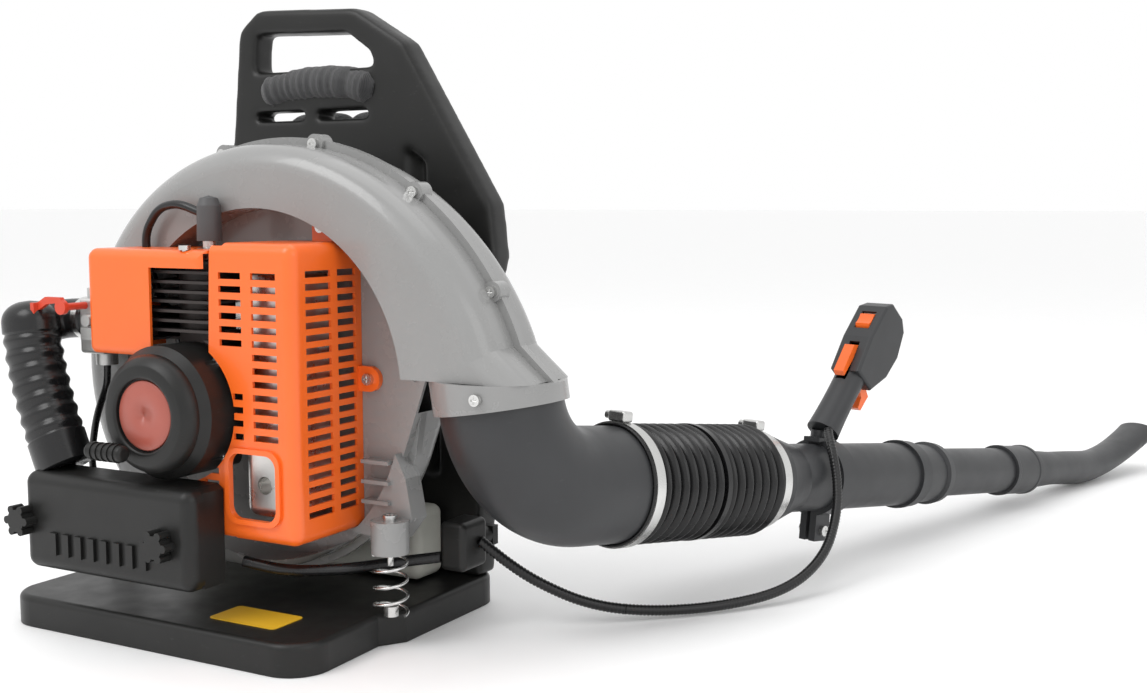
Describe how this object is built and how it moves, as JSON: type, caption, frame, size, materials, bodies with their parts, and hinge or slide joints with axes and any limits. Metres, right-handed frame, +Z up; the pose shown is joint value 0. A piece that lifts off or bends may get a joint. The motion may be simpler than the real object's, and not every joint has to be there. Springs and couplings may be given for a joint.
{
  "type": "backpack leaf blower",
  "caption": "Backpack leaf blower: engine and scroll fan case on a sprung base and back frame, elbow, flexible hose, pipes, bent nozzle and grip with trigger.",
  "frame": {"origin": "centre of the base's underside", "axes": "+X the wearer's right, +Y forward along the tube, +Z up"},
  "size_m": [0.7744, 1.2156, 0.5198],
  "materials": {
    "black_plastic": "satin moulded",
    "grey_plastic": "glossy moulded",
    "orange_plastic": "semi-gloss moulded",
    "steel": "bright zinc",
    "alloy": "as cast",
    "dark_metal": "heat-resistant black",
    "rubber": "matt",
    "dark_grey_plastic": "satin moulded",
    "webbing": "woven",
    "foam_cloth": "woven padded",
    "filter_foam": "open-cell foam",
    "red_plastic": "moulded",
    "tank_plastic": "translucent white",
    "rope": "braided"
  },
  "bodies": {
    "root": {"air_box_case": "black_plastic", "air_box_cover": "black_plastic", "air_box_knobs": "black_plastic", "air_filter": "filter_foam", "back_frame": "black_plastic", "back_pad": "foam_cloth", "base_plate": "black_plastic", "bearings_and_pins": "steel", "body_screws": "steel", "cable_block": "black_plastic", "carburetor": "alloy", "connecting_rod": "steel", "crankcase_halves": "alloy", "cylinder": "dark_metal", "cylinder_cover": "orange_plastic", "engine_loom": "rubber", "fan_case_front": "grey_plastic", "fan_case_rear": "grey_plastic", "fuel_line": "rubber", "fuel_tank": "tank_plastic", "harness": "webbing", "hose_clamp_inner": "steel", "hose_inner_half": "rubber", "ignition_coil": "dark_metal", "ignition_lead": "rubber", "intake_duct": "black_plastic", "intake_insulator": "black_plastic", "muffler": "alloy", "muffler_guard": "orange_plastic", "outlet_elbow": "dark_grey_plastic", "piston": "alloy", "recoil_spring": "steel", "rubber_buffers": "rubber", "spark_plug": "steel", "spark_plug_cap": "rubber", "starter_housing": "black_plastic", "suspension_springs": "steel", "throttle_cable_lower": "rubber"},
    "rotor": {"crankshaft": "steel", "flywheel": "alloy", "impeller": "black_plastic"},
    "starter_reel": {"starter_reel": "black_plastic"},
    "starter_pull": {"starter_handle": "black_plastic", "starter_rope": "rope"},
    "choke": {"choke_lever": "red_plastic"},
    "fuel_cap": {"fuel_cap": "black_plastic"},
    "hose_middle": {"hose_middle_ring": "rubber", "hose_outer_half": "rubber"},
    "tube": {"swivel_pipe": "dark_grey_plastic", "hose_clamp_outer": "steel", "grip_clamp": "dark_grey_plastic", "grip_fasteners": "steel", "grip_shell_left": "dark_grey_plastic", "grip_shell_right": "dark_grey_plastic", "throttle_cable_upper": "rubber"},
    "outer_tube": {"blower_pipe": "dark_grey_plastic"},
    "nozzle": {"nozzle": "dark_grey_plastic"},
    "trigger": {"throttle_trigger": "orange_plastic"},
    "cruise": {"cruise_lever": "orange_plastic"},
    "stop_rocker": {"stop_switch": "orange_plastic"}
  },
  "joints": [
    {"name": "rotor_spin", "type": "hinge", "parent": "root", "child": "rotor", "pos_m": [0.01, 0, 0.185], "axis": [0, 1, 0], "continuous": true},
    {"name": "starter_pull", "type": "slide", "parent": "root", "child": "starter_pull", "axis": [0, -1, 0], "range_m": [0, 0.65], "stiffness_N_per_m": 8, "springref_m": -0.4, "deforming": ["starter_rope"]},
    {"name": "starter_reel_turn", "type": "hinge", "parent": "root", "child": "starter_reel", "pos_m": [0.01, 0, 0.185], "axis": [0, 1, 0], "range_deg": [0, 1400]},
    {"name": "choke_turn", "type": "hinge", "parent": "root", "child": "choke", "pos_m": [-0.104, -0.07, 0.262], "axis": [0, 1, 0], "range_deg": [0, 70]},
    {"name": "fuel_cap_turn", "type": "hinge", "parent": "root", "child": "fuel_cap", "pos_m": [-0.106, 0.0725, 0.09], "axis": [0, 0, 1], "range_deg": [0, 360]},
    {"name": "hose_sweep", "type": "hinge", "parent": "root", "child": "hose_middle", "pos_m": [0.30214, 0.14438, 0.1124], "axis": [0, 0, 1], "range_deg": [-30, 30], "deforming": ["hose_inner_half", "throttle_cable_lower"]},
    {"name": "hose_lift", "type": "hinge", "parent": "hose_middle", "child": "tube", "pos_m": [0.33002, 0.23557, 0.10128], "axis": [0.9563, -0.2924, 0], "range_deg": [-15, 30], "deforming": ["hose_outer_half", "throttle_cable_upper"]},
    {"name": "pipe_twist", "type": "hinge", "parent": "tube", "child": "outer_tube", "pos_m": [0.41337, 0.50818, 0.06804], "axis": [0.2904, 0.9499, -0.1158], "range_deg": [0, 30]},
    {"name": "nozzle_twist", "type": "hinge", "parent": "outer_tube", "child": "nozzle", "pos_m": [0.48887, 0.75515, 0.03794], "axis": [0.2904, 0.9499, -0.1158], "range_deg": [-90, 90]},
    {"name": "trigger_squeeze", "type": "hinge", "parent": "tube", "child": "trigger", "pos_m": [0.39008, 0.432, 0.17391], "axis": [-0.9563, 0.2924, 0], "range_deg": [0, 12], "stiffness_Nm_per_rad": 0.5, "springref_deg": -11.46},
    {"name": "cruise_press", "type": "hinge", "parent": "tube", "child": "cruise", "pos_m": [0.38995, 0.4316, 0.20149], "axis": [0.9563, -0.2924, 0], "range_deg": [0, 9]},
    {"name": "stop_rock", "type": "hinge", "parent": "tube", "child": "stop_rocker", "pos_m": [0.39596, 0.45125, 0.22675], "axis": [0.9563, -0.2924, 0], "range_deg": [-12, 12]}
  ],
  "couplings": [
    {"joint": "starter_reel_turn", "follows": "starter_pull", "rad_per_m": 35.714}
  ]
}
